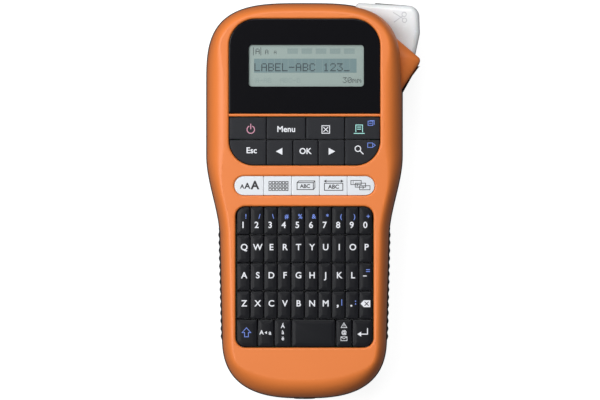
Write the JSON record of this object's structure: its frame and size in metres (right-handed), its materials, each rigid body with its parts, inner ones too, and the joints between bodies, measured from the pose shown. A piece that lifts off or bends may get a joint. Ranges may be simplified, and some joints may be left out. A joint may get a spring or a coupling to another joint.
{
  "type": "label maker",
  "caption": "Hand-held label maker with an orange case, display, keypad, white cutter lever, tape drive and print head behind a removable back cover.",
  "frame": {"origin": "on the flat back face, at mid-length on the centreline of the case", "axes": "+X to the right of the keypad, +Y along the case to the cutter end, +Z out of the keypad face"},
  "size_m": [0.1129, 0.209, 0.058],
  "materials": {
    "orange_plastic": "satin moulded orange plastic",
    "charcoal_plastic": "fine-textured charcoal plastic",
    "grip_rubber": "matt ribbed rubber",
    "window_acrylic": "polished acrylic, printed black at the back",
    "lcd_glass": "grey-green display glass",
    "white_plastic": "gloss white plastic",
    "circuit_board": "green board lacquer",
    "silicone": "grey silicone",
    "key_plastic": "satin dark key caps",
    "blade_steel": "bright spring steel",
    "ceramic": "glazed ceramic",
    "heat_sink": "plain aluminium",
    "roller_rubber": "ground rubber",
    "dark_nylon": "dark moulded nylon",
    "gear_nylon": "natural acetal",
    "brass": "cut brass"
  },
  "bodies": {
    "root": {"front_case": "orange_plastic", "rear_case": "charcoal_plastic", "display_window": "window_acrylic", "left_grip": "grip_rubber", "right_grip": "grip_rubber", "lcd_panel": "lcd_glass", "lcd_holder": "white_plastic", "main_board": "circuit_board", "nav_keymat": "silicone", "strip_keymat": "silicone", "letter_keymat": "silicone", "cutter_pivot": "blade_steel", "cutter_spring": "blade_steel", "cutter_anvil": "blade_steel", "print_head": "ceramic", "head_plate": "heat_sink", "holder_pivot": "blade_steel", "drive_motor": "blade_steel", "gear_posts": "blade_steel", "battery_springs": "blade_steel", "battery_plates": "blade_steel", "dc_jack": "dark_nylon", "case_screws": "blade_steel", "board_screws": "blade_steel"},
    "cutter": {"cutter_lever": "white_plastic", "cutter_blade": "blade_steel"},
    "cover": {"back_cover": "charcoal_plastic"},
    "holder": {"roller_holder": "dark_nylon"},
    "platen": {"platen_roller": "roller_rubber", "platen_shaft": "blade_steel"},
    "pinion": {"motor_pinion": "brass"},
    "first_gear": {"first_gear": "gear_nylon"},
    "second_gear": {"second_gear": "gear_nylon"},
    "spindle": {"ribbon_spindle": "gear_nylon"},
    "key_power": {"key_power": "key_plastic"},
    "key_menu": {"key_menu": "key_plastic"},
    "key_clear": {"key_clear": "key_plastic"},
    "key_print": {"key_print": "key_plastic"},
    "key_escape": {"key_escape": "key_plastic"},
    "key_left": {"key_left": "key_plastic"},
    "key_ok": {"key_ok": "key_plastic"},
    "key_right": {"key_right": "key_plastic"},
    "key_preview": {"key_preview": "key_plastic"},
    "key_size": {"key_size": "white_plastic"},
    "key_patterns": {"key_patterns": "white_plastic"},
    "key_wrap": {"key_wrap": "white_plastic"},
    "key_length": {"key_length": "white_plastic"},
    "key_numbering": {"key_numbering": "white_plastic"},
    "digit_keys": {"digit_keys": "key_plastic"},
    "top_letter_keys": {"top_letter_keys": "key_plastic"},
    "middle_letter_keys": {"middle_letter_keys": "key_plastic"},
    "bottom_letter_keys": {"bottom_letter_keys": "key_plastic"},
    "key_shift": {"key_shift": "key_plastic"},
    "key_caps": {"key_caps": "key_plastic"},
    "key_accent": {"key_accent": "key_plastic"},
    "key_space": {"key_space": "key_plastic"},
    "key_symbol": {"key_symbol": "key_plastic"},
    "key_enter": {"key_enter": "key_plastic"}
  },
  "joints": [
    {"name": "press_power", "type": "slide", "parent": "root", "child": "key_power", "axis": [0, 0, -1], "range_m": [0, 0.0008], "stiffness_N_per_m": 1200},
    {"name": "press_menu", "type": "slide", "parent": "root", "child": "key_menu", "axis": [0, 0, -1], "range_m": [0, 0.0008], "stiffness_N_per_m": 1200},
    {"name": "press_clear", "type": "slide", "parent": "root", "child": "key_clear", "axis": [0, 0, -1], "range_m": [0, 0.0008], "stiffness_N_per_m": 1200},
    {"name": "press_print", "type": "slide", "parent": "root", "child": "key_print", "axis": [0, 0, -1], "range_m": [0, 0.0008], "stiffness_N_per_m": 1200},
    {"name": "press_escape", "type": "slide", "parent": "root", "child": "key_escape", "axis": [0, 0, -1], "range_m": [0, 0.0008], "stiffness_N_per_m": 1200},
    {"name": "press_left", "type": "slide", "parent": "root", "child": "key_left", "axis": [0, 0, -1], "range_m": [0, 0.0008], "stiffness_N_per_m": 1200},
    {"name": "press_ok", "type": "slide", "parent": "root", "child": "key_ok", "axis": [0, 0, -1], "range_m": [0, 0.0008], "stiffness_N_per_m": 1200},
    {"name": "press_right", "type": "slide", "parent": "root", "child": "key_right", "axis": [0, 0, -1], "range_m": [0, 0.0008], "stiffness_N_per_m": 1200},
    {"name": "press_preview", "type": "slide", "parent": "root", "child": "key_preview", "axis": [0, 0, -1], "range_m": [0, 0.0008], "stiffness_N_per_m": 1200},
    {"name": "press_size", "type": "slide", "parent": "root", "child": "key_size", "axis": [0, 0, -1], "range_m": [0, 0.0008], "stiffness_N_per_m": 1200},
    {"name": "press_patterns", "type": "slide", "parent": "root", "child": "key_patterns", "axis": [0, 0, -1], "range_m": [0, 0.0008], "stiffness_N_per_m": 1200},
    {"name": "press_wrap", "type": "slide", "parent": "root", "child": "key_wrap", "axis": [0, 0, -1], "range_m": [0, 0.0008], "stiffness_N_per_m": 1200},
    {"name": "press_length", "type": "slide", "parent": "root", "child": "key_length", "axis": [0, 0, -1], "range_m": [0, 0.0008], "stiffness_N_per_m": 1200},
    {"name": "press_numbering", "type": "slide", "parent": "root", "child": "key_numbering", "axis": [0, 0, -1], "range_m": [0, 0.0008], "stiffness_N_per_m": 1200},
    {"name": "press_digit_keys", "type": "slide", "parent": "root", "child": "digit_keys", "axis": [0, 0, -1], "range_m": [0, 0.0008], "stiffness_N_per_m": 1500},
    {"name": "press_top_letter_keys", "type": "slide", "parent": "root", "child": "top_letter_keys", "axis": [0, 0, -1], "range_m": [0, 0.0008], "stiffness_N_per_m": 1500},
    {"name": "press_middle_letter_keys", "type": "slide", "parent": "root", "child": "middle_letter_keys", "axis": [0, 0, -1], "range_m": [0, 0.0008], "stiffness_N_per_m": 1500},
    {"name": "press_bottom_letter_keys", "type": "slide", "parent": "root", "child": "bottom_letter_keys", "axis": [0, 0, -1], "range_m": [0, 0.0008], "stiffness_N_per_m": 1500},
    {"name": "press_shift", "type": "slide", "parent": "root", "child": "key_shift", "axis": [0, 0, -1], "range_m": [0, 0.0008], "stiffness_N_per_m": 1200},
    {"name": "press_caps", "type": "slide", "parent": "root", "child": "key_caps", "axis": [0, 0, -1], "range_m": [0, 0.0008], "stiffness_N_per_m": 1200},
    {"name": "press_accent", "type": "slide", "parent": "root", "child": "key_accent", "axis": [0, 0, -1], "range_m": [0, 0.0008], "stiffness_N_per_m": 1200},
    {"name": "press_space", "type": "slide", "parent": "root", "child": "key_space", "axis": [0, 0, -1], "range_m": [0, 0.0008], "stiffness_N_per_m": 1200},
    {"name": "press_symbol", "type": "slide", "parent": "root", "child": "key_symbol", "axis": [0, 0, -1], "range_m": [0, 0.0008], "stiffness_N_per_m": 1200},
    {"name": "press_enter", "type": "slide", "parent": "root", "child": "key_enter", "axis": [0, 0, -1], "range_m": [0, 0.0008], "stiffness_N_per_m": 1200},
    {"name": "cutter_turn", "type": "hinge", "parent": "root", "child": "cutter", "pos_m": [0.029, 0.095, 0.035], "axis": [0, 0, -1], "range_deg": [0, 10], "stiffness_Nm_per_rad": 0.3},
    {"name": "cover_off", "type": "slide", "parent": "root", "child": "cover", "axis": [0, 0, -1], "range_m": [0, 0.1]},
    {"name": "holder_swing", "type": "hinge", "parent": "root", "child": "holder", "pos_m": [0.0372, 0.067, 0.017], "axis": [0, 0, -1], "range_deg": [0, 4]},
    {"name": "first_gear_spin", "type": "hinge", "parent": "root", "child": "first_gear", "pos_m": [0.02123, 0.0699, 0.041], "axis": [0, 0, 1], "continuous": true},
    {"name": "second_gear_spin", "type": "hinge", "parent": "root", "child": "second_gear", "pos_m": [0.0345, 0.0792, 0.041], "axis": [0, 0, 1], "continuous": true},
    {"name": "pinion_spin", "type": "hinge", "parent": "root", "child": "pinion", "pos_m": [0.00503, 0.0699, 0.041], "axis": [0, 0, 1], "continuous": true},
    {"name": "spindle_spin", "type": "hinge", "parent": "root", "child": "spindle", "pos_m": [0.02123, 0.0572, 0.02], "axis": [0, 0, 1], "continuous": true},
    {"name": "platen_spin", "type": "hinge", "parent": "holder", "child": "platen", "pos_m": [0.042, 0.0717, 0.018], "axis": [0, 0, 1], "continuous": true}
  ],
  "couplings": [
    {"joint": "pinion_spin", "follows": "first_gear_spin", "ratio": -3.6},
    {"joint": "second_gear_spin", "follows": "first_gear_spin", "ratio": -0.35294},
    {"joint": "platen_spin", "follows": "first_gear_spin", "ratio": 0.30882},
    {"joint": "spindle_spin", "follows": "first_gear_spin", "ratio": -0.63636}
  ]
}
